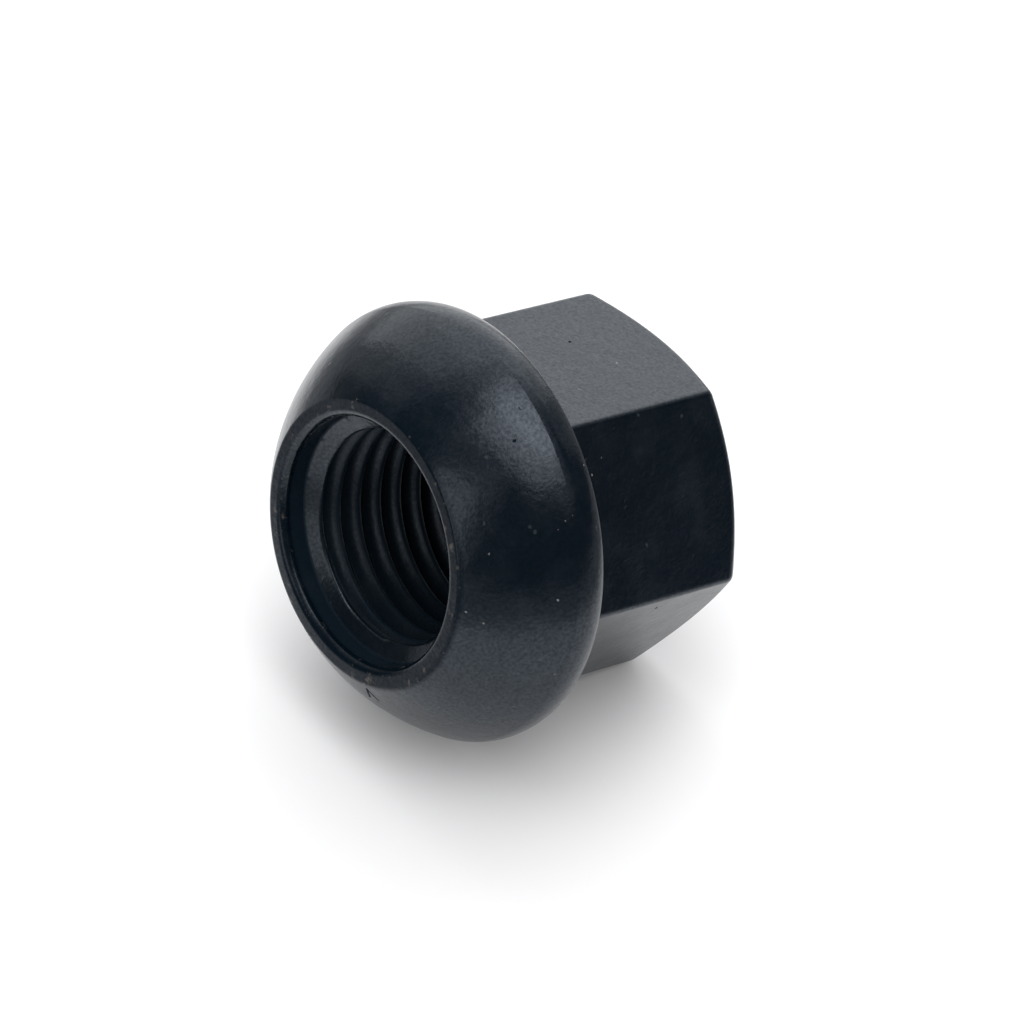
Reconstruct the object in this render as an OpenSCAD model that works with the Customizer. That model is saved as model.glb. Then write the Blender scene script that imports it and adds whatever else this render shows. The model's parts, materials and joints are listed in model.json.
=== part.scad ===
// Open lug nut with a ball seat, lying on a flat surface: one flat of the hex faces down,
// the shoulder and the far end of that flat touch the surface, and the mouth points to -X and up.
// Millimetres, +Z up, the surface is z = 0.
// Inside the nut's own modules, z runs along the axis from the mouth ring (z = 0) to the hex end.

/* [Thread] */
// nominal diameter of the stud
thread_d = 14; // [12:0.5:15]
// pitch of the stud thread
thread_pitch = 1.5; // [1.25:0.25:2]

/* [Mouth] */
// radial gap between the stud and the counterbore
counterbore_gap = 0.25; // [0.1:0.05:0.5]
// depth of the counterbore below the mouth ring
counterbore_depth = 1.6; // [1:0.1:3]
// radial width of the chamfer between the mouth ring and the counterbore
mouth_chamfer_w = 0.5; // [0.2:0.05:0.7]
// depth of that chamfer
mouth_chamfer_depth = 0.5; // [0.2:0.05:0.8]
// width of the flat mouth ring
mouth_ring_w = 0.55; // [0.3:0.05:0.8]
// included angle of the cone that leads from the counterbore into the thread
lead_in_angle = 120; // [90:5:130]

/* [Ball seat] */
// radius of the ball
ball_r = 14; // [13.2:0.1:15]

/* [Shoulder] */
// how much smaller than the ball's radius the ball zone is where the shoulder takes over
shoulder_inset = 1.4; // [1:0.1:2]
// radius of the shoulder's rounding
shoulder_r = 2.2; // [1.8:0.1:3]
// how far the surface turns at the faint crease between the ball and the shoulder
crease_angle = 4; // [2:0.5:8]
// width of the shoulder, up to its flat back
shoulder_w = 1.88; // [1:0.02:2.2]

/* [Hex drive] */
// width across the flats
hex_af = 19; // [18.5:0.5:21]
// radius of the rounded edges between the flats
hex_edge_r = 0.4; // [0.1:0.05:1]
// length of the whole nut
nut_l = 20; // [18:0.5:26]
// diameter of the flat ring at the hex end
hex_end_d = 18; // [17:0.1:18]
// slope of the turned chamfer at the hex end, from the end plane
hex_chamfer_angle = 27; // [20:1:35]
// width of the countersink at the hex end beyond the stud's radius
end_sink_gap = 0.4; // [0.2:0.1:0.8]
// included angle of that countersink
end_sink_angle = 90; // [80:5:120]

/* [Hidden] */
$fn = 96;
// coated steel
nut_color = "#1d242b";
// how far a shape reaches past the face where it is cut off or cuts
cut = 1;
hex_sides = 6;
half_corner = 180 / hex_sides;
// height of the sharp thread triangle, and the share of it that the stud and the nut have in common
thread_h = thread_pitch * cos(30);
thread_share = 5 / 8;
minor_r = thread_d / 2 - thread_share * thread_h;
// radii and depths of the mouth
counterbore_r = thread_d / 2 + counterbore_gap;
mouth_r = counterbore_r + mouth_chamfer_w;
ring_r = mouth_r + mouth_ring_w;
lead_in_end = counterbore_depth + (counterbore_r - minor_r) / tan(lead_in_angle / 2);
// the ball's centre, so that the ball meets the mouth ring at its outer edge
ball_center = sqrt(ball_r * ball_r - ring_r * ring_r);
// where the ball ends and the shoulder starts, and the back of the shoulder
ball_end_r = ball_r - shoulder_inset;
ball_end = ball_center - sqrt(ball_r * ball_r - ball_end_r * ball_end_r);
shoulder_back = ball_end + shoulder_w;
// the centre of the shoulder's arc, which leaves the ball at the crease
start_slope = asin((ball_center - ball_end) / ball_r) - crease_angle;
arc_center = ball_end + shoulder_r * sin(start_slope);
arc_center_r = ball_end_r - shoulder_r * cos(start_slope);
// the arc lies outside the ball for a short way in front of the crease, and is cut off there
arc_start = ball_end - shoulder_r * sin(crease_angle);
// hex end
hex_r = hex_af / 2;
hex_end_r = hex_end_d / 2;
hex_core_r = hex_r - hex_edge_r;
hex_core_side = 2 * hex_core_r * tan(half_corner);
hex_len = nut_l - ball_end;
flat_end = nut_l - (hex_r - hex_end_r) * tan(hex_chamfer_angle);
end_sink_r = thread_d / 2 + end_sink_gap;
end_sink_start = nut_l - (end_sink_r - minor_r) / tan(end_sink_angle / 2);
// how it lies: the shoulder's arc and the far end of the lower flat are at the same height
arc_to_flat_end = flat_end - arc_center;
arc_over_flat = arc_center_r - hex_r;
tilt = atan(arc_over_flat / arc_to_flat_end) + asin(shoulder_r / norm([arc_to_flat_end, arc_over_flat]));
axis_height = flat_end * sin(tilt) + hex_r * cos(tilt);
mid_x = (nut_l * cos(tilt) + (hex_end_r - ring_r) * sin(tilt)) / 2;

// the zone of the ball from the mouth ring to the crease, and the rounded shoulder behind it
module ball_seat() {
  rotate_extrude()
    intersection() {
      translate([0, ball_center]) circle(r = ball_r);
      union() {
        square([ball_r, arc_start]);
        square([arc_center_r, shoulder_back]);
        intersection() {
          translate([arc_center_r, arc_center]) circle(r = shoulder_r);
          square([ball_r, shoulder_back]);
          translate([0, arc_start]) square(ball_r);
        }
      }
    }
}

// the hex with rounded edges, turned so that a flat faces along x:
// three bars as wide as one flat, joined by a round rod at each edge
module hex_bar() {
  for (side = [0 : hex_sides / 2 - 1])
    rotate([0, 0, 2 * half_corner * side])
      translate([-hex_r, -hex_core_side / 2, 0])
        cube([hex_af, hex_core_side, hex_len + cut]);
  for (edge = [0 : hex_sides - 1])
    rotate([0, 0, half_corner * (2 * edge + 1)])
      translate([hex_core_r / cos(half_corner), 0, 0])
        cylinder(r = hex_edge_r, h = hex_len + cut);
}

// the hex with its far corners turned off to a cone
module hex_drive() {
  translate([0, 0, ball_end])
    intersection() {
      hex_bar();
      cylinder(r1 = hex_end_r + hex_len / tan(hex_chamfer_angle), r2 = hex_end_r, h = hex_len);
    }
}

// everything that is open along the axis, at the thread's minor diameter
module bore_cut() {
  rotate_extrude()
    polygon([
      [0, -cut],
      [mouth_r + cut * mouth_chamfer_w / mouth_chamfer_depth, -cut],
      [counterbore_r, mouth_chamfer_depth],
      [counterbore_r, counterbore_depth],
      [minor_r, lead_in_end],
      [minor_r, end_sink_start],
      [end_sink_r + cut * tan(end_sink_angle / 2), nut_l + cut],
      [0, nut_l + cut]
    ]);
}

module lug_nut() {
  color(nut_color)
    translate([-mid_x, 0, axis_height])
      rotate([0, 90 + tilt, 0])
        difference() {
          union() {
            ball_seat();
            hex_drive();
          }
          bore_cut();
        }
}

lug_nut();
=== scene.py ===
# %% [markdown]
# A black lug nut with a ball seat, lying on a pale studio floor.
# The real nut is one piece of steel: forged, turned, threaded and then dipped in a thin black coating.
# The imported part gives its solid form. This lesson works the same form out again as one fine mesh with
# softened edges and a real screw thread, and gives it the coating's gloss, grain, dust and wear.

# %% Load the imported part
import json
import math
import bmesh
import bpy
import numpy as np
from mathutils import Matrix, Vector


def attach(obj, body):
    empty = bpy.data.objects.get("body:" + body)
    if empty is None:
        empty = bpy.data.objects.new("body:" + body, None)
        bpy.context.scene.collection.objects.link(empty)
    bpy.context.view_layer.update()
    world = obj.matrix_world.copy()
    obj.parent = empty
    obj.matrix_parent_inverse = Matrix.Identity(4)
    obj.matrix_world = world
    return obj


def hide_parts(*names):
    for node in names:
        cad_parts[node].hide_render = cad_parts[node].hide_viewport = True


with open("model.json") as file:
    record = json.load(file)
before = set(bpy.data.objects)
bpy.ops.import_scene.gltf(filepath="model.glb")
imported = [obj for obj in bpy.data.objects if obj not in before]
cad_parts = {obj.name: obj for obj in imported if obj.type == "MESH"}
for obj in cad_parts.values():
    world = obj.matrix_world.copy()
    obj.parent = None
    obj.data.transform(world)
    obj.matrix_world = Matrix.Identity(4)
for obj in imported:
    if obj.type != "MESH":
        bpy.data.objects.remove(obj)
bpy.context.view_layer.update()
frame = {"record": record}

# %% [markdown]
# Every size is in millimetres and named as a machinist would name it. A few sizes drive the rest: the
# stud's thread, the ball, the shoulder and the hex. Working the others out keeps the faces in contact
# when one size changes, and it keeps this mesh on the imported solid.

# %% Sizes of the nut
MM = 0.001
STUD_R = 7.0
PITCH = 1.5
COUNTERBORE_R = STUD_R + 0.25
COUNTERBORE_DEPTH = 1.6
MOUTH_CHAMFER = 0.5
MOUTH_R = COUNTERBORE_R + MOUTH_CHAMFER
RING_R = MOUTH_R + 0.55
LEAD_IN_SLOPE = math.tan(math.radians(60))
BALL_R = 14.0
BALL_END_R = BALL_R - 1.4
SHOULDER_R = 2.2
SHOULDER_W = 1.88
CREASE_TURN = math.radians(4)
HEX_R = 9.5
HEX_EDGE_R = 0.4
LENGTH = 20.0
END_R = 9.0
END_SLOPE = math.tan(math.radians(27))
END_SINK_R = STUD_R + 0.4

ball_center = math.sqrt(BALL_R**2 - RING_R**2)
ball_end = ball_center - math.sqrt(BALL_R**2 - BALL_END_R**2)
shoulder_back = ball_end + SHOULDER_W
shoulder_start = math.asin((ball_center - ball_end) / BALL_R) - CREASE_TURN
shoulder_center = ball_end + SHOULDER_R * math.sin(shoulder_start)
shoulder_center_r = BALL_END_R - SHOULDER_R * math.cos(shoulder_start)
shoulder_end = math.asin((shoulder_back - shoulder_center) / SHOULDER_R)
mounts = {mount["name"]: mount for mount in frame["record"]["mounts"]}
minor_r = mounts["stud_thread"]["dims"]["r_mm"]
print(f"shoulder {ball_end:.2f} to {shoulder_back:.2f} mm behind the mouth, bore radius {minor_r:.2f} mm")

# %% [markdown]
# The nut lies tilted, resting on its shoulder and on the far end of one flat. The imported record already
# holds that pose: the ball seat's mount is the middle of the mouth, and its axis points out of the mouth.
# A point of the nut is given as a distance behind the mouth, a radius and an angle around the axis, and
# one function turns those three into a place in the room.

# %% Where the axis lies
seat = mounts["ball_seat"]
mouth_center = np.array(seat["pos_m"]) / MM
along = -np.array(seat["axis"])
across = np.array([0.0, 1.0, 0.0])
upward = np.cross(along, across)


def place(depth, radius, angle):
    """Point in metres: start in the mouth, go depth along the axis, then radius outwards, where an angle
    of 0 is the upper side and the angle grows like a right-hand screw that is driven into the nut."""
    outward = np.cos(angle)[..., None] * upward - np.sin(angle)[..., None] * across
    return (mouth_center + depth[..., None] * along + radius[..., None] * outward) * MM


print("axis, from mouth to hex end:", np.round(along, 4), "upper side:", np.round(upward, 4))

# %% [markdown]
# The camera comes first, because everything else is judged through it. It is a long lens that looks down
# on the nut from the mouth's side, and it is rolled a little, as a hand-set tripod head often is.
# A camera looks along its own -Z axis, so its matrix holds right, up and backwards as columns.

# %% Camera
CAMERA_AZIMUTH = math.radians(-39.924)
CAMERA_ELEVATION = math.radians(41.6)
CAMERA_ROLL = math.radians(2.723)
CAMERA_DISTANCE = 318.71 * MM
CAMERA_TARGET = Vector((0.373, -0.816, 11.565)) * MM
LENS = 195.82
SENSOR = 36.0


def direction(azimuth, elevation):
    """Unit vector at an elevation above the floor. Azimuth 0 is the front, -Y, and 90 degrees is +X."""
    level = math.cos(elevation)
    return Vector((math.sin(azimuth) * level, -math.cos(azimuth) * level, math.sin(elevation)))


backwards = direction(CAMERA_AZIMUTH, CAMERA_ELEVATION)
level_right = Vector((math.cos(CAMERA_AZIMUTH), math.sin(CAMERA_AZIMUTH), 0.0))
level_up = backwards.cross(level_right)
right = math.cos(CAMERA_ROLL) * level_right + math.sin(CAMERA_ROLL) * level_up
camera_up = backwards.cross(right)

lens = bpy.data.cameras.new("camera")
lens.lens = LENS
lens.sensor_width = SENSOR
lens.clip_start = 0.01
camera = bpy.data.objects.new("camera", lens)
camera.matrix_world = Matrix.Translation(CAMERA_TARGET + CAMERA_DISTANCE * backwards) @ Matrix(
    (right, camera_up, backwards)).transposed().to_4x4()
bpy.context.scene.collection.objects.link(camera)
bpy.context.scene.camera = camera
bpy.context.scene.view_settings.view_transform = "Standard"
print("camera at, mm:", [round(v / MM, 1) for v in camera.matrix_world.translation])

# %% [markdown]
# The hex is not round, so each angle around the axis has its own radius. Across a flat the radius follows
# from the flat's distance to the axis. Near an edge it follows a small arc, because a forged hex has
# rounded edges. The columns of the mesh stand closer together on those arcs than on the flats.

# %% Columns around the axis
SIDES = 6
HALF_SIDE = math.pi / SIDES
FLAT_COLUMNS = 33
EDGE_COLUMNS = 6
edge_center = (HEX_R - HEX_EDGE_R) / math.cos(HALF_SIDE)
flat_half_angle = math.atan((HEX_R - HEX_EDGE_R) * math.tan(HALF_SIDE) / HEX_R)
FLAT_MARGIN = math.radians(0.25)


def hex_radius(angle):
    """Radius of the rounded hex. On a flat it is the flat's distance over the cosine of the angle from
    the flat's middle. On an edge it is where the ray from the axis leaves the edge's circle."""
    from_flat = (angle + HALF_SIDE) % (2 * HALF_SIDE) - HALF_SIDE
    from_edge = angle % (2 * HALF_SIDE) - HALF_SIDE
    on_arc = HEX_EDGE_R**2 - (edge_center * np.sin(from_edge)) ** 2
    arc = edge_center * np.cos(from_edge) + np.sqrt(np.maximum(on_arc, 0.0))
    return np.where(np.abs(from_flat) <= flat_half_angle, HEX_R / np.cos(from_flat), arc)


flat_columns = np.linspace(FLAT_MARGIN - flat_half_angle, flat_half_angle - FLAT_MARGIN, FLAT_COLUMNS)
edge_columns = np.linspace(flat_half_angle, 2 * HALF_SIDE - flat_half_angle, EDGE_COLUMNS + 1)
one_side = np.concatenate([flat_columns, edge_columns])
angles = (one_side + 2 * HALF_SIDE * np.arange(SIDES)[:, None]).ravel()
columns = len(angles)
hex_r = hex_radius(angles)
print(f"{columns} columns, hex radius from {hex_r.min():.2f} to {hex_r.max():.2f} mm")

# %% [markdown]
# A turned part is a profile carried around an axis. The profile here is a chain of corner points, and
# each corner has its own rounding, as a tool's nose, a deburring pass and the coating leave it.
# A rounded corner needs an arc of rows and one more row on either side of the arc. Those two keep the
# smooth shading of the arc from leaking into the flat faces beside it.

# %% Rounding a profile
ARC_ROWS = 6
ARC_MARGIN = 0.04


def unit(vectors):
    """Each vector over its own length."""
    return vectors / np.linalg.norm(vectors, axis=-1, keepdims=True)


def round_corners(corners, radii, arc_rows=ARC_ROWS, margin=ARC_MARGIN):
    """Rows of a profile, shaped (row, column, 2), from its corners, shaped the same way, and from a radius
    for each corner and column. The arc at a corner starts and ends at radius times tan(turn / 2) from it,
    and runs on the circle that touches both sides. Also gives the number of the corner of each row."""
    rows = [corners[:1]]
    owners = [0]
    steps = np.linspace(0.0, 1.0, arc_rows)[:, None, None]
    for k in range(1, len(corners) - 1):
        if not radii[k].any():
            rows.append(corners[k : k + 1])
            owners.append(k)
            continue
        coming = unit(corners[k] - corners[k - 1])
        going = unit(corners[k + 1] - corners[k])
        turn = np.arccos(np.clip((coming * going).sum(-1, keepdims=True), -1, 1))
        reach = radii[k] * np.tan(turn / 2)
        center = corners[k] + unit(going - coming) * radii[k] / np.cos(turn / 2)
        start = corners[k] - coming * reach
        end = corners[k] + going * reach
        arc = np.sin((1 - steps) * turn) * (start - center) + np.sin(steps * turn) * (end - center)
        rows.append(center + arc / np.sin(turn))
        owners += [k] * arc_rows
        if margin:
            rows.insert(-1, (start - coming * margin)[None])
            rows.append((end + going * margin)[None])
            owners += [k] * 2
    rows.append(corners[-1:])
    owners.append(len(corners) - 1)
    return np.concatenate(rows), np.array(owners)


# %% [markdown]
# The outer profile runs from the lead-in cone inside the mouth, over the lip, the ball, the shoulder, the
# hex and its turned chamfer, and into the countersink at the hex end. Most corners are the same for every
# column. The hex root and the chamfer's edge follow the hex radius, which gives the curved edges that a
# turned hex shows. A straight stretch gets a few rows of its own, so that no face is a long splinter.

# %% Corners of the outer profile
LEAD_IN_START = 0.08
END_SINK_TAKEN = 0.28
LIP_CHAMFER_W = 0.27
LIP_CHAMFER_DEPTH = 0.35
LIP_REACH = 0.15
BALL_ROWS = 24
SHOULDER_ROWS = 14


def corner(depth, radius):
    """One corner of the profile for every column, shaped (1, column, 2)."""
    return np.stack(np.broadcast_arrays(depth, radius, angles)[:2], axis=-1)[None].astype(float)


def between(start, end, count):
    """Rows that divide the straight line from start to end into equal parts, without its two ends."""
    share = np.linspace(0, 1, count + 2)[1:-1, None, None]
    return start + share * (end - start)


def arc_rows(center, center_r, radius, start, end, count):
    """Rows on an arc of the profile, without its two ends. The slope runs from start to end, and a point
    is the arc's centre plus radius times (sine, cosine) of the slope."""
    slopes = np.linspace(start, end, count + 2)[1:-1]
    return np.concatenate([
        corner(center + radius * math.sin(a), center_r + radius * math.cos(a)) for a in slopes])


ball_start_slope = math.asin(RING_R / BALL_R) - math.pi / 2 + LIP_REACH / BALL_R
ball_end_slope = math.asin(BALL_END_R / BALL_R) - math.pi / 2
ball_rows = arc_rows(ball_center, 0.0, BALL_R, ball_start_slope, ball_end_slope, BALL_ROWS)
shoulder_rows = arc_rows(
    shoulder_center, shoulder_center_r, SHOULDER_R, -shoulder_start, shoulder_end, SHOULDER_ROWS)

cone = corner(COUNTERBORE_DEPTH + LEAD_IN_START, COUNTERBORE_R - LEAD_IN_START * LEAD_IN_SLOPE)
wall_bottom = corner(COUNTERBORE_DEPTH, COUNTERBORE_R)
wall_top = corner(LIP_CHAMFER_DEPTH, COUNTERBORE_R)
lip_inner = corner(0.0, COUNTERBORE_R + LIP_CHAMFER_W)
lip_outer = corner(0.0, RING_R)
crease = corner(ball_end, BALL_END_R)
rim = corner(shoulder_back, shoulder_center_r + SHOULDER_R * math.cos(shoulder_end))
root = corner(shoulder_back, hex_r)
chamfer_edge = corner(LENGTH - (hex_r - END_R) * END_SLOPE, hex_r)
end_outer = corner(LENGTH, END_R)
end_inner = corner(LENGTH, END_SINK_R)
sink = corner(LENGTH - END_SINK_TAKEN, END_SINK_R - END_SINK_TAKEN)
print(f"ball from radius {RING_R:.2f} to {BALL_END_R:.2f} mm, rim radius {rim[0, 0, 1]:.2f} mm")

# %% [markdown]
# Each corner gets its rounding here. The lip is a flat ring with a crisp outer edge, and its inner chamfer
# was tumbled until it is nearly one round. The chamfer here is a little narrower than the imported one, as
# the photo shows it. The far corners of the hex were rounded in the forging die, so their rounding grows
# with the distance from the middle of the flat.

# %% Outer skin
FLAT_END_ROUND = 0.45
CORNER_END_ROUND = 0.75
towards_corner = (hex_r - HEX_R) / (hex_r.max() - HEX_R)
end_round = FLAT_END_ROUND + (CORNER_END_ROUND - FLAT_END_ROUND) * towards_corner
chain = [
    (cone, 0),
    (wall_bottom, 0.05),
    (between(wall_bottom, wall_top, 2), 0),
    (wall_top, 0.4),
    (lip_inner, 0.42),
    (lip_outer, 0.3),
    (ball_rows, 0),
    (crease, 0.5),
    (shoulder_rows, 0),
    (rim, 0.14),
    (between(rim, root, 4), 0),
    (root, 0.25),
    (between(root, chamfer_edge, 14)[:-1], 0),
    (chamfer_edge, end_round),
    (end_outer, 0.15),
    (between(end_outer, end_inner, 3), 0),
    (end_inner, 0.1),
    (sink, 0),
]
corners = np.concatenate([points for points, _ in chain])
radii = np.concatenate([np.broadcast_to(radius, points.shape[:2]) for points, radius in chain])
skin, skin_owner = round_corners(corners, radii[..., None])
skin_points = place(skin[..., 0], skin[..., 1], angles[None, :])
print(f"outer skin: {len(skin)} rows of {columns} points")

# %% [markdown]
# The thread could be a bump pattern, but the mouth is wide open and the crests catch the light, so it is
# cut as real geometry. One pitch of a metric thread is a flat crest, a 60 degree flank, a narrow root and
# the other flank. The rows of the thread climb one pitch for each turn, as the tap did, so every
# crest is a clean line. Where the cones at the two ends are wider than the thread, the cones win.

# %% One pitch of the thread
CREST_SHARE = 1 / 6
ROOT_SHARE = 1 / 8
FLANK_SHARE = (1 - CREST_SHARE - ROOT_SHARE) / 2
CREST_ROUND = 0.2
ROOT_ROUND = 0.09
THREAD_ARC_ROWS = 3

flank_in = np.array([[CREST_SHARE / 2 * PITCH, minor_r], [(CREST_SHARE / 2 + FLANK_SHARE) * PITCH, STUD_R]])
flank_out = flank_in[::-1] * [-1, 1] + [PITCH, 0]
thread_corners = np.concatenate([
    [[0, minor_r]],
    flank_in[:1], between(flank_in[:1, None], flank_in[1:, None], 2)[:, 0], flank_in[1:],
    flank_out[:1], between(flank_out[:1, None], flank_out[1:, None], 2)[:, 0], flank_out[1:],
    [[PITCH, minor_r]],
])[:, None]
thread_radii = np.array([0, CREST_ROUND, 0, 0, ROOT_ROUND, ROOT_ROUND, 0, 0, CREST_ROUND, 0])
one_pitch, _ = round_corners(thread_corners, thread_radii[:, None, None], THREAD_ARC_ROWS, margin=0)
one_pitch = one_pitch[:-1, 0]
print(f"one pitch: {len(one_pitch)} rows, {STUD_R - minor_r:.2f} mm deep")

# %% [markdown]
# A tap starts to cut inside the lead-in cone, and its first turn there is shallow. The groove therefore
# grows from nothing over the first part of a turn, which leaves the cone a clean band.

# %% Thread
FIRST_CREST = 0.85
SOFTENING = 0.05
GROOVE_STARTS = COUNTERBORE_DEPTH + 0.55
GROOVE_GROWS = 0.5


def cone_radius(depth):
    """Radius of the wider of the two cones at this depth: each changes by its slope from its own end."""
    lead_in = COUNTERBORE_R - (depth - COUNTERBORE_DEPTH) * LEAD_IN_SLOPE
    return np.maximum(lead_in, END_SINK_R - (LENGTH - depth))


def soft_maximum(a, b):
    """The larger of two lengths, with a small round where they cross: half of a + b + the root of
    (a - b) squared plus the softening squared."""
    return (a + b + np.sqrt((a - b) ** 2 + SOFTENING**2)) / 2


thread_start = cone[0, 0, 0]
thread_end = sink[0, 0, 0]
turns = np.arange(math.floor(thread_start / PITCH) - 2, math.ceil(thread_end / PITCH) + 1)
row_depth = (turns[:, None] * PITCH + one_pitch[:, 0] + FIRST_CREST).ravel()
groove = np.tile(one_pitch[:, 1] - minor_r, len(turns))
screw_angles = np.append(angles, angles[0] + 2 * math.pi)
screw_depth = row_depth[:, None] + PITCH * screw_angles / (2 * math.pi)
inside = (screw_depth > thread_start) & (screw_depth < thread_end)
screw_depth = np.clip(screw_depth, thread_start, thread_end)
cones = cone_radius(screw_depth)
grown = np.clip((screw_depth - GROOVE_STARTS) / GROOVE_GROWS, 0, 1)
screw_radius = np.where(inside, soft_maximum(minor_r + groove[:, None] * grown, cones), cones)
screw_points = place(screw_depth, screw_radius, screw_angles[None, :])
print(f"thread: {len(row_depth)} rows of {columns} points")

# %% [markdown]
# The skin and the thread are two grids. The skin's last column joins its first one. The thread's last
# column lands one pitch higher on its first one, so there the joining is left to a merge of the points
# that share a place, which also closes the two circles where thread and skin meet.

# %% Points and faces
def grid_faces(rows, first, width, closed):
    """Quads of a grid whose points are numbered row by row, and which may close on its first column."""
    row = np.arange(rows - 1)[:, None] * width
    left = np.arange(width if closed else width - 1)
    ahead = (left + 1) % width
    quads = np.stack([row + left, row + ahead, row + width + ahead, row + width + left], axis=-1)
    return first + quads.reshape(-1, 4)


skin_count = skin_points.size // 3
screw_count = screw_points.size // 3
points = np.concatenate([skin_points.reshape(-1, 3), screw_points.reshape(-1, 3)])
faces = np.concatenate([
    grid_faces(len(skin), 0, columns, closed=True),
    grid_faces(len(row_depth), skin_count, columns + 1, closed=False),
])
mesh = bpy.data.meshes.new("lug_nut_coated")
mesh.from_pydata(points.tolist(), [], faces.tolist())
print(f"{len(points)} points, {len(faces)} quads")

# %% [markdown]
# The coating wears first where an edge stands proud, and it stays thin and dull where the bath hardly
# moved, in the bore. The bore's lighter colour is partly this thin coat and partly painted light, which
# lifts the dimly lit bore. A stud bears on the flanks of the thread just below the crests, so the dull bore
# is polished there again, and the lead-in cone is as bright as the outside. The lip is rubbed dull on its
# lower side, where the nut slides over the bench. The mesh knows where all this is, so each point carries
# three numbers for the material: how much of an edge it is on, how dull a bore and how much painted light
# lifts its colour, and how rubbed a lip.

# %% Numbers for edges, bore and lip
LIP_WEAR = 1.0
EDGE_WEAR = 0.6
RUBBED_AT = math.radians(135)
POLISHED_DEPTH = 0.22
POLISHED_SHARE = 0.75
CONE_STARTS = 0.1
HEX_STARTS = shoulder_back + 0.3
HEX_INSIDE = HEX_R - 0.01
BORE_ITEMS = (0, 1, 2, len(chain) - 1)
wear_of = {id(wall_top): LIP_WEAR, id(lip_inner): LIP_WEAR, id(lip_outer): LIP_WEAR,
           id(rim): EDGE_WEAR, id(chamfer_edge): EDGE_WEAR, id(end_outer): EDGE_WEAR}
corner_wear = np.concatenate([np.full(len(piece), wear_of.get(id(piece), 0.0)) for piece, _ in chain])
rubbed_side = 0.5 + 0.5 * np.cos(angles - RUBBED_AT)
skin_rubbed = (corner_wear[skin_owner] == LIP_WEAR)[:, None] * rubbed_side
on_edge = np.abs(angles % (2 * HALF_SIDE) - HALF_SIDE) < HALF_SIDE - flat_half_angle
on_hex = (skin[..., 0] > HEX_STARTS) & (skin[..., 1] > HEX_INSIDE)
skin_wear = np.maximum(corner_wear[skin_owner][:, None], EDGE_WEAR * (on_hex & on_edge))
bore_corners = np.concatenate([
    np.full(len(piece), float(number in BORE_ITEMS)) for number, (piece, _) in enumerate(chain)])
skin_bore = np.repeat(bore_corners[skin_owner], columns)
below_crest = screw_radius - np.maximum(minor_r, cones)
polished = np.clip(1 - np.abs(below_crest / POLISHED_DEPTH - 1), 0, 1)
on_cone = np.clip((cones - minor_r) / CONE_STARTS, 0, 1) * (below_crest < CONE_STARTS)
screw_bore = np.where(on_cone > 0, 1 - on_cone, 1 - POLISHED_SHARE * polished)
for name, values in (
    ("edge", np.concatenate([skin_wear.ravel(), np.zeros(screw_count)])),
    ("bore", np.concatenate([skin_bore, screw_bore.ravel()])),
    ("rubbed", np.concatenate([skin_rubbed.ravel(), np.zeros(screw_count)])),
):
    mesh.attributes.new(name, "FLOAT", "POINT").data.foreach_set("value", values.astype(np.float32))
dull_points = int(skin_bore.sum() + screw_bore.sum())
print(f"{np.count_nonzero(skin_wear)} points on edges, {dull_points} in the bore")

# %% [markdown]
# Merging makes one closed shell of the two grids. A closed shell has no open edges, and its enclosed
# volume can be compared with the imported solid's: it is smaller by what the thread cuts away.

# %% One closed shell
MERGE_DISTANCE = 1e-7
shell = bmesh.new()
shell.from_mesh(mesh)
bmesh.ops.remove_doubles(shell, verts=shell.verts, dist=MERGE_DISTANCE)
bmesh.ops.dissolve_degenerate(shell, edges=shell.edges, dist=MERGE_DISTANCE)
bmesh.ops.recalc_face_normals(shell, faces=shell.faces)
open_edges = sum(not edge.is_manifold for edge in shell.edges)
volume = shell.calc_volume(signed=True)
shell.to_mesh(mesh)
shell.free()
mesh.shade_smooth()
nut = bpy.data.objects.new("lug_nut_coated", mesh)
bpy.context.scene.collection.objects.link(nut)
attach(nut, "root")
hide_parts("lug_nut")
print(f"{len(mesh.polygons)} faces, {open_edges} open edges, volume {volume * 1e9:.1f} mm3")

# %% [markdown]
# A node tree is easier to read when each node is one line. One small function adds a node, sets its
# options and fills its inputs: an output of another node is linked, and anything else is a fixed value.
# Colours are written as the hex values that a colour picker shows, and another function takes them to
# the linear values that the shader works with. A third turns one range of numbers into another, which
# makes a noise pattern stronger, cuts it off, or turns a distance into a dot.

# %% Helpers for materials
def add(tree, kind, inputs=None, **options):
    """A new node of this kind, with its options set and its inputs linked or set to a value."""
    made = tree.nodes.new(kind)
    for name, value in options.items():
        setattr(made, name, value)
    for socket, value in (inputs or {}).items():
        if isinstance(value, bpy.types.NodeSocket):
            tree.links.new(value, made.inputs[socket])
        else:
            made.inputs[socket].default_value = value
    return made


def linear(hex_colour):
    """Linear RGBA from an sRGB hex colour: each channel over 255, and then the sRGB curve undone."""
    srgb = np.array([int(hex_colour[i : i + 2], 16) for i in (1, 3, 5)]) / 255
    curve = np.where(srgb <= 0.04045, srgb / 12.92, ((srgb + 0.055) / 1.055) ** 2.4)
    return (*curve.tolist(), 1.0)


def per_mm(size_mm):
    """Scale of a texture whose features are about this size, for coordinates in metres."""
    return 1.0 / (size_mm * MM)


def remap(tree, value, old, new, **options):
    """Output that goes from the first number of new to the second while the value goes through old."""
    return add(tree, "ShaderNodeMapRange", {
        "Value": value, "From Min": old[0], "From Max": old[1], "To Min": new[0], "To Max": new[1],
    }, **options).outputs["Result"]


def empty_material(name):
    """A new material and its node tree, with no nodes yet."""
    material = bpy.data.materials.new(name)
    material.use_nodes = True
    material.node_tree.nodes.clear()
    return material, material.node_tree


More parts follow.
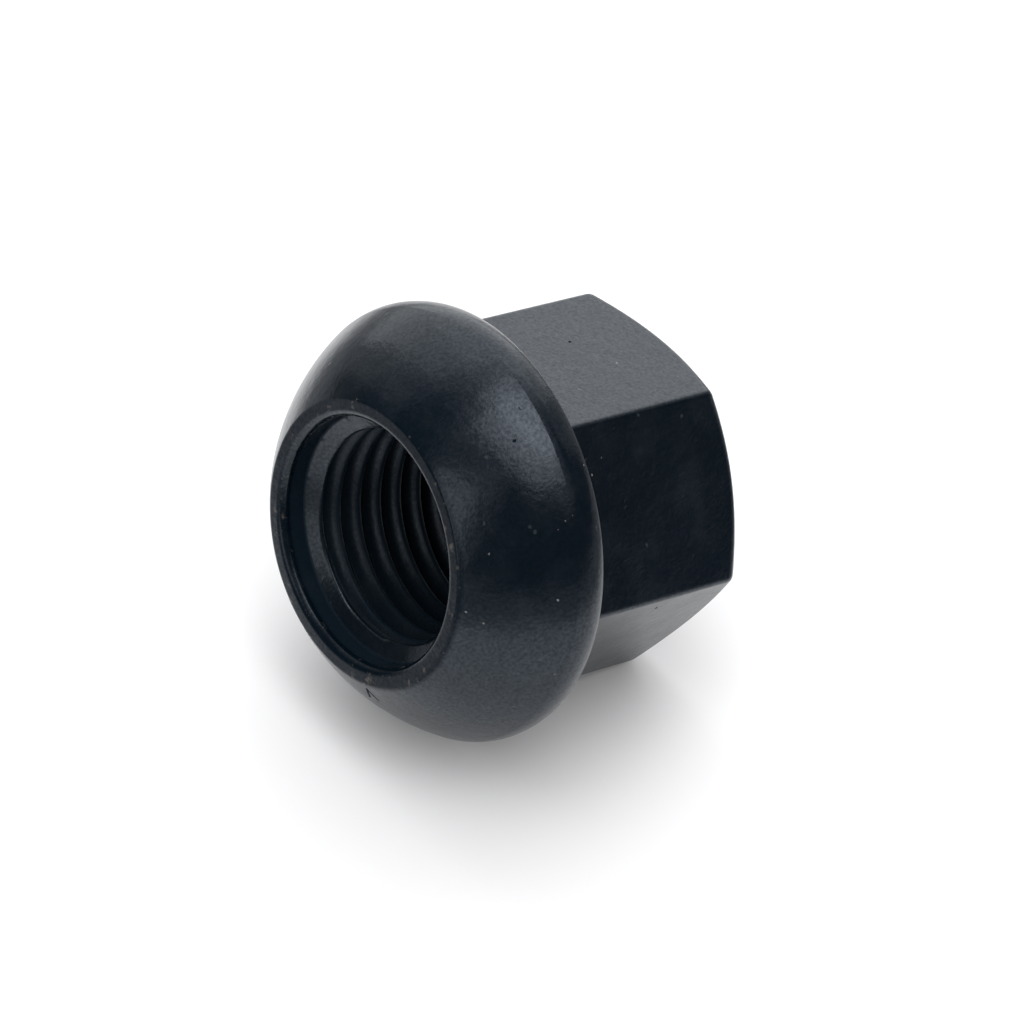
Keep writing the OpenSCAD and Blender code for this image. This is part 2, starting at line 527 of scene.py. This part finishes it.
# %% [markdown]
# The finish is black electrocoat, a thin epoxy paint that is drawn onto the steel in a bath and baked.
# It gives the eye a blue-black body under a satin gloss. The paint follows the forged steel below it, so
# the gloss breaks up into a fine grain on top of slow, shallow waves. Both are noise patterns, and they
# become a height for the bump and a small change in gloss. The grain of the real paint is about a tenth of
# a millimetre, and it is drawn at nearly twice that so that it shows.

# %% Coating: body, grain and waves
coating, tree = empty_material("black_electrocoat_on_forged_steel")
object_place = add(tree, "ShaderNodeTexCoord").outputs["Object"]

GRAIN_MM = 0.19
PEEL_MM = 0.55
WAVE_MM = 2.2
CLOUD_MM = 3.4
CLOUD_RANGE = (0.35, 0.65)
ROUGHNESS = (0.18, 0.23)
grain = add(tree, "ShaderNodeTexNoise", {"Vector": object_place, "Scale": per_mm(GRAIN_MM), "Detail": 3.0})
peel = add(tree, "ShaderNodeTexNoise", {"Vector": object_place, "Scale": per_mm(PEEL_MM), "Detail": 2.0})
waves = add(tree, "ShaderNodeTexNoise", {"Vector": object_place, "Scale": per_mm(WAVE_MM), "Detail": 2.0})
clouds = add(tree, "ShaderNodeTexNoise", {
    "Vector": object_place, "Scale": per_mm(CLOUD_MM), "Detail": 5.0, "Roughness": 0.65})
body = add(tree, "ShaderNodeMix", {
    "Factor": clouds.outputs["Fac"], "A": linear("#030D15"), "B": linear("#07131C")}, data_type="RGBA")
gloss = remap(tree, clouds.outputs["Fac"], CLOUD_RANGE, ROUGHNESS)

# %% [markdown]
# Handling leaves a thin film of grey dust in patches, and single specks of it. The film is a cloud pattern
# that is kept only where it is strongest. The specks are the cells of a Voronoi pattern: each cell has one
# point and one random colour, so a small ball around the point is a speck, and the colour picks which
# cells have one. The specks of the real nut are 0.1 to 0.2 mm wide. Smudges are wider, fainter dots, and
# a little noise is added to the coordinates of all dots, so that none of them is quite round.

# %% Coating: dust film and specks
FILM_MM = 1.8
FILM_RANGE = (0.24, 0.44)
FILM_MOST = 0.025
SPECK_CELL_MM = 0.5
SPECK_R_MM = 0.08
SPECKS_KEPT = 0.012
SMUDGE_CELL_MM = 0.9
SMUDGE_R_MM = 0.34
SMUDGES_KEPT = 0.012
RAGGED_MM = 0.16


def dots(cell_mm, radius_mm, kept):
    """1 inside small balls and 0 outside. The distance to the cell's point is in cells, so it is compared
    with the radius over the cell's size, and a cell counts only if its random number is below kept."""
    cells = add(tree, "ShaderNodeTexVoronoi", {
        "Vector": ragged.outputs["Vector"], "Scale": per_mm(cell_mm)})
    edge = radius_mm / cell_mm
    ball = remap(tree, cells.outputs["Distance"], (edge, edge / 3), (0, 1), interpolation_type="SMOOTHSTEP")
    random = add(tree, "ShaderNodeSeparateColor", {"Color": cells.outputs["Color"]})
    chosen = add(tree, "ShaderNodeMath", {0: random.outputs["Red"], 1: kept}, operation="LESS_THAN")
    return add(tree, "ShaderNodeMath", {0: ball, 1: chosen.outputs[0]}, operation="MULTIPLY").outputs[0]


ragged = add(tree, "ShaderNodeVectorMath", {
    0: grain.outputs["Color"], 1: (RAGGED_MM * MM,) * 3, 2: object_place}, operation="MULTIPLY_ADD")
film_noise = add(tree, "ShaderNodeTexNoise", {
    "Vector": object_place, "Scale": per_mm(FILM_MM), "Detail": 5.0, "Roughness": 0.55})
film_patch = add(tree, "ShaderNodeMath", {
    0: film_noise.outputs["Fac"], 1: clouds.outputs["Fac"]}, operation="MULTIPLY")
film = remap(tree, film_patch.outputs[0], FILM_RANGE, (0, FILM_MOST))
specks = dots(SPECK_CELL_MM, SPECK_R_MM, SPECKS_KEPT)
smudges = dots(SMUDGE_CELL_MM, SMUDGE_R_MM, SMUDGES_KEPT)

# %% [markdown]
# Forged steel has small pits where scale was pressed in, and handling adds hairline scratches. Pits are
# larger, rarer dots that are taken off the height. A scratch is a noise pattern that is stretched a long
# way in one direction and kept only along its narrow ridges, in a few patches.

# %% Coating: pits and scratches
PIT_CELL_MM = 0.9
PIT_R_MM = 0.17
PITS_KEPT = 0.10
SCRATCH_MM = 0.35
SCRATCH_STRETCH = 7.0
SCRATCH_TURN = (0.5, 0.3, 0.9)
SCRATCH_RIDGE = (0.66, 0.72)
SCRATCH_PATCH = (0.52, 0.62)

pits = dots(PIT_CELL_MM, PIT_R_MM, PITS_KEPT)
stretched = add(tree, "ShaderNodeMapping", {
    "Vector": object_place, "Rotation": SCRATCH_TURN, "Scale": (1.0, SCRATCH_STRETCH, SCRATCH_STRETCH)})
scratch_noise = add(tree, "ShaderNodeTexNoise", {
    "Vector": stretched.outputs["Vector"], "Scale": per_mm(SCRATCH_MM * SCRATCH_STRETCH), "Detail": 1.0})
scratch_line = remap(tree, scratch_noise.outputs["Fac"], SCRATCH_RIDGE, (0, 1))
scratch_patch = remap(tree, waves.outputs["Fac"], SCRATCH_PATCH, (0, 1))
scratches = add(tree, "ShaderNodeMath", {0: scratch_line, 1: scratch_patch}, operation="MULTIPLY")

# %% [markdown]
# Some marks are this nut's own: pale specks, small pits, and a nick just outside the lip that splits into
# two short lines. Each has a fixed place, given as a distance behind the mouth, a radius and an angle in
# degrees. The distance to the nearest of them makes a pattern of small balls.

# %% Coating: single marks
PALE_R_MM = 0.1
FAINT_R_MM = 0.15
DARK_R_MM = 0.13
PALE_MARKS = np.array([(0.04, 8.35, 160.3), (0.36, 8.77, 82.8), (4.13, 12.04, 75.9), (15.36, 9.57, 6.8)])
FAINT_MARKS = np.array([
    (3.88, 11.89, 94.8), (3.02, 11.31, 54.7), (3.2, 11.44, 56.3), (2.15, 10.62, 31.7), (16.46, 10.53, 34.4),
    (13.26, 10.84, 31.2), (12.76, 9.74, 72.8)])
DARK_MARKS = np.array([(14.06, 9.63, 350.4), (13.81, 10.42, 95.8), (3.53, 11.66, 30.7)])
NICK_START = (0.35, 8.76, 161.1)
NICK_ENDS = [(1.13, 9.65, 165.1), (1.04, 9.55, 160.2)]
NICK_SPOTS = 9
nick_lines = [np.linspace(NICK_START, end, NICK_SPOTS) for end in NICK_ENDS]


def marks(spots, radius_mm):
    """1 in small balls around the given places on the nut and 0 outside: the distance to the nearest place
    is compared with the radius. The places are shifted by the mean of the noise in the coordinates."""
    nearest = 1.0
    for center in place(spots[:, 0], spots[:, 1], np.radians(spots[:, 2])) + RAGGED_MM * MM / 2:
        away = add(tree, "ShaderNodeVectorMath", {
            0: ragged.outputs["Vector"], 1: center.tolist()}, operation="DISTANCE")
        nearest = add(tree, "ShaderNodeMath", {
            0: away.outputs["Value"], 1: nearest}, operation="MINIMUM").outputs[0]
    edge = radius_mm * MM
    return remap(tree, nearest, (edge, edge / 3), (0, 1), interpolation_type="SMOOTHSTEP")


pale_marks = marks(PALE_MARKS, PALE_R_MM)
faint_marks = marks(FAINT_MARKS, FAINT_R_MM)
dark_marks = marks(np.concatenate([DARK_MARKS, *nick_lines]), DARK_R_MM)
print(f"marks: {len(PALE_MARKS)} pale, {len(FAINT_MARKS)} faint, {len(DARK_MARKS)} dark, and a nick")

# %% [markdown]
# Along the lip the coating is rubbed through to a brownish grey primer in small spots, and the other edges
# have a few paler nicks. The edge number of the mesh says where, and a noise pattern breaks it up.

# %% Coating: worn edges
WEAR_MM = 0.7
WEAR_RANGE = (0.60, 0.74)
WEAR_MOST = 0.6
edge_number = add(tree, "ShaderNodeAttribute", attribute_name="edge").outputs["Fac"]
wear_noise = add(tree, "ShaderNodeTexNoise", {
    "Vector": object_place, "Scale": per_mm(WEAR_MM), "Detail": 4.0, "Roughness": 0.6})
wear_level = add(tree, "ShaderNodeMath", {
    0: edge_number, 1: wear_noise.outputs["Fac"]}, operation="MULTIPLY")
wear = remap(tree, wear_level.outputs[0], WEAR_RANGE, (0, WEAR_MOST))

# %% [markdown]
# The layers come together here. First the bore's lighter colour, partly thin coat and partly painted light
# that lifts the dim bore; then film, specks and worn spots lighten the body colour one after the other.
# Dust and wear make the gloss duller, and so does the bore. The heights add up to one bump. The strength of
# the
# gloss is a product: it is less in the bore, on the rubbed lip, in dark marks and where the fine grain
# scatters it.

# %% Coating: shader
GRAIN_HEIGHT = 0.007 * MM
PEEL_HEIGHT = 0.012 * MM
WAVE_HEIGHT = 0.020 * MM
PIT_HEIGHT = 0.012 * MM
SCRATCH_HEIGHT = 0.003 * MM
SPECK_HEIGHT = 0.020 * MM
MARK_HEIGHT = 0.020 * MM
BORE_SHINE = 0.15
RUBBED_SHINE = 0.25
MARK_SHINE = 0.25
GRAIN_RANGE = (0.3, 0.7)
GRAIN_SHINE = (0.34, 0.66)
bore_dullness_and_painted_light = add(tree, "ShaderNodeAttribute", attribute_name="bore").outputs["Fac"]
colour = body.outputs["Result"]
# The bore's colour is partly its thin coat and partly painted light, which lifts the dimly lit bore.
for amount, shade in (
    (bore_dullness_and_painted_light, "#141F28"),
    (film, "#6E7479"),
    (smudges, "#1C2125"),
    (wear, "#6A625A"),
    (specks, "#77746F"),
    (faint_marks, "#2A2F33"),
    (pale_marks, "#77797A"),
):
    colour = add(tree, "ShaderNodeMix", {
        "Factor": amount, "A": colour, "B": linear(shade)}, data_type="RGBA").outputs["Result"]
roughness = gloss
for amount, share in (
    (film, 0.9),
    (specks, 0.5),
    (smudges, 0.12),
    (wear, 0.3),
    (pale_marks, 0.5),
    (dark_marks, 0.8),
    (bore_dullness_and_painted_light, 0.16),
):
    roughness = add(tree, "ShaderNodeMath", {
        0: amount, 1: share, 2: roughness}, operation="MULTIPLY_ADD", use_clamp=True).outputs[0]
height = None
for amount, tall in (
    (grain.outputs["Fac"], GRAIN_HEIGHT),
    (peel.outputs["Fac"], PEEL_HEIGHT),
    (waves.outputs["Fac"], WAVE_HEIGHT),
    (pits, -PIT_HEIGHT),
    (scratches.outputs[0], -SCRATCH_HEIGHT),
    (specks, SPECK_HEIGHT),
    (dark_marks, -MARK_HEIGHT),
):
    height = add(tree, "ShaderNodeMath", {
        0: amount, 1: tall / MM, 2: height if height else 0.0}, operation="MULTIPLY_ADD").outputs[0]
bump = add(tree, "ShaderNodeBump", {"Height": height, "Strength": 1.0, "Distance": MM})
rubbed_number = add(tree, "ShaderNodeAttribute", attribute_name="rubbed").outputs["Fac"]
dull = remap(tree, bore_dullness_and_painted_light, (0, 1), (1, BORE_SHINE))
rubbed = remap(tree, rubbed_number, (0, 1), (1, RUBBED_SHINE))
marked = remap(tree, dark_marks, (0, 1), (1, MARK_SHINE))
speckled = remap(tree, grain.outputs["Fac"], GRAIN_RANGE, GRAIN_SHINE)
shine = dull
for share in (rubbed, marked, speckled):
    shine = add(tree, "ShaderNodeMath", {0: shine, 1: share}, operation="MULTIPLY").outputs[0]
shader = add(tree, "ShaderNodeBsdfPrincipled", {
    "Base Color": colour, "Roughness": roughness, "IOR": 1.5, "Specular IOR Level": shine,
    "Specular Tint": linear("#E6F1FF"), "Normal": bump.outputs["Normal"]})
add(tree, "ShaderNodeOutputMaterial", {"Surface": shader.outputs["BSDF"]})
mesh.materials.append(coating)
print(f"coating: {len(tree.nodes)} nodes")

# %% [markdown]
# The floor is a sheet of matt white board, large enough to reach past every view. It is white in the
# picture and far behind it. Beside and in front of it the board's colour falls to grey: that is painted
# shade, which stands in for a sweep's light ending there, because a dark glossy part shows the whole floor
# around it. A little emission lifts the board to white. It is switched by the kind of ray: on for what the
# camera, a reflection or glass sees, and off for light that falls on the nut.

# %% Floor
FLOOR_HALF = 3.0
FLOOR_LIFT = 0.04
WHITE_ACROSS = 29 * MM
WHITE_IN_FRONT = 40 * MM
PAINTED_SHADE_ENDS = 1.7
board, board_tree = empty_material("matt_white_board_painted_shade")
board_place = add(board_tree, "ShaderNodeTexCoord").outputs["Object"]
faced = add(board_tree, "ShaderNodeMapping", {
    "Vector": board_place, "Rotation": (0.0, 0.0, CAMERA_AZIMUTH),
    "Scale": (WHITE_ACROSS, -WHITE_IN_FRONT, 1.0)}, vector_type="TEXTURE")
sides = add(board_tree, "ShaderNodeSeparateXYZ", {"Vector": faced.outputs["Vector"]})
sideways = add(board_tree, "ShaderNodeMath", {0: sides.outputs["X"]}, operation="ABSOLUTE")
outward = add(board_tree, "ShaderNodeMath", {
    0: sideways.outputs[0], 1: sides.outputs["Y"]}, operation="MAXIMUM")
painted_shade = remap(board_tree, outward.outputs[0], (1, PAINTED_SHADE_ENDS), (0, 1), interpolation_type="SMOOTHSTEP")
# The grey beyond the white strip is painted shade, which stands in for the floor's light falling off.
board_white_and_painted_shade = add(board_tree, "ShaderNodeMix", {
    "Factor": painted_shade, "A": linear("#F2F2F3"), "B": linear("#8E8E90")}, data_type="RGBA")
ray = add(board_tree, "ShaderNodeLightPath").outputs
seen = ray["Is Camera Ray"]
for other in ("Is Glossy Ray", "Is Transmission Ray"):
    seen = add(board_tree, "ShaderNodeMath", {
        0: seen, 1: ray[other]}, operation="ADD", use_clamp=True).outputs[0]
lift = add(board_tree, "ShaderNodeMath", {0: seen, 1: FLOOR_LIFT}, operation="MULTIPLY")
board_shader = add(board_tree, "ShaderNodeBsdfPrincipled", {
    "Base Color": board_white_and_painted_shade.outputs["Result"], "Roughness": 1.0, "Specular IOR Level": 0.0,
    "Emission Color": board_white_and_painted_shade.outputs["Result"], "Emission Strength": lift.outputs[0]})
add(board_tree, "ShaderNodeOutputMaterial", {"Surface": board_shader.outputs["BSDF"]})

floor_mesh = bpy.data.meshes.new("floor")
floor_corners = FLOOR_HALF * np.array([[-1, -1, 0], [1, -1, 0], [1, 1, 0], [-1, 1, 0]])
floor_mesh.from_pydata(floor_corners.tolist(), [], [(0, 1, 2, 3)])
floor_mesh.materials.append(board)
floor = bpy.data.objects.new("floor", floor_mesh)
bpy.context.scene.collection.objects.link(floor)
print(f"floor {2 * FLOOR_HALF:.0f} m wide, white strip {2 * WHITE_ACROSS / MM:.0f} mm wide")

# %% [markdown]
# A glossy black part shows its lamps more than its own colour, so their places were read from the
# highlights: a softbox overhead and a little to the front, a large panel behind on the right, and a narrow
# softbox low on the left. A softbox is brighter in its middle, so each is two or three flat lamps, one
# inside the other. The front stays dark, which gives the dark flat that faces the viewer.

# %% Lamps
LAMP_DISTANCE = 0.6


def softbox(name, middle, facing, width, height, radiance):
    """A flat lamp, with its back towards facing. Its middle, width and height are shares of the lamps'
    distance, and its power is radiance times pi times its area."""
    lamp = bpy.data.lights.new(name, "AREA")
    lamp.shape = "RECTANGLE"
    lamp.size = width * LAMP_DISTANCE
    lamp.size_y = height * LAMP_DISTANCE
    lamp.energy = radiance * math.pi * lamp.size * lamp.size_y
    holder = bpy.data.objects.new(name, lamp)
    holder.location = middle * LAMP_DISTANCE
    holder.rotation_euler = facing.to_track_quat("Z", "Y").to_euler()
    holder.visible_camera = False
    bpy.context.scene.collection.objects.link(holder)


# Each row: name, height, left, right, front and back edge of a level lamp as seen at height 1, and radiance
OVERHEAD = [
    ("overhead_softbox_core", 1.0, -0.18, 0.12, -0.53, 0.23, 1.90),
    ("overhead_softbox", 1.05, -0.40, 0.05, -0.85, 0.08, 1.45),
    ("overhead_softbox_edge", 1.1, -0.34, 0.45, -1.40, 0.61, 0.29),
]
for name, high, x0, x1, y0, y1, radiance in OVERHEAD:
    middle = Vector(((x0 + x1) / 2, (y0 + y1) / 2, 1.0)) * high
    softbox(name, middle, Vector((0, 0, 1)), (x1 - x0) * high, (y1 - y0) * high, radiance)

# Each row: name, azimuth and elevation in degrees, width, height and radiance
STANDING = [
    ("back_panel", 141, 34.5, 1.6, 1.26, 0.75),
    ("back_panel_core", 140, 38, 0.9, 1.50, 0.58),
    ("back_wall", 135, 41, 3.0, 1.65, 0.30),
    ("left_softbox", -78, 24, 0.42, 0.86, 0.95),
    ("left_softbox_edge", -76, 41, 0.66, 1.40, 0.20),
]
for name, azimuth, elevation, width, height, radiance in STANDING:
    towards = direction(math.radians(azimuth), math.radians(elevation))
    softbox(name, towards, towards, width, height, radiance)
print(f"{len(OVERHEAD) + len(STANDING)} lamps")

# %% [markdown]
# The room around the lamps is dim. It fills the shadows with a little soft light, and it is darker still
# where the gloss of the nut would mirror it.

# %% Room
ROOM_LIGHT = 0.60
ROOM_REFLECTION = 0.075
room = bpy.data.worlds.new("studio_room")
room.use_nodes = True
room_tree = room.node_tree
room_tree.nodes.clear()
mirrored = add(room_tree, "ShaderNodeLightPath").outputs["Is Glossy Ray"]
room_strength = remap(room_tree, mirrored, (0, 1), (ROOM_LIGHT, ROOM_REFLECTION))
room_shader = add(room_tree, "ShaderNodeBackground", {
    "Color": linear("#FFFFFF"), "Strength": room_strength})
add(room_tree, "ShaderNodeOutputWorld", {"Surface": room_shader.outputs["Background"]})
bpy.context.scene.world = room
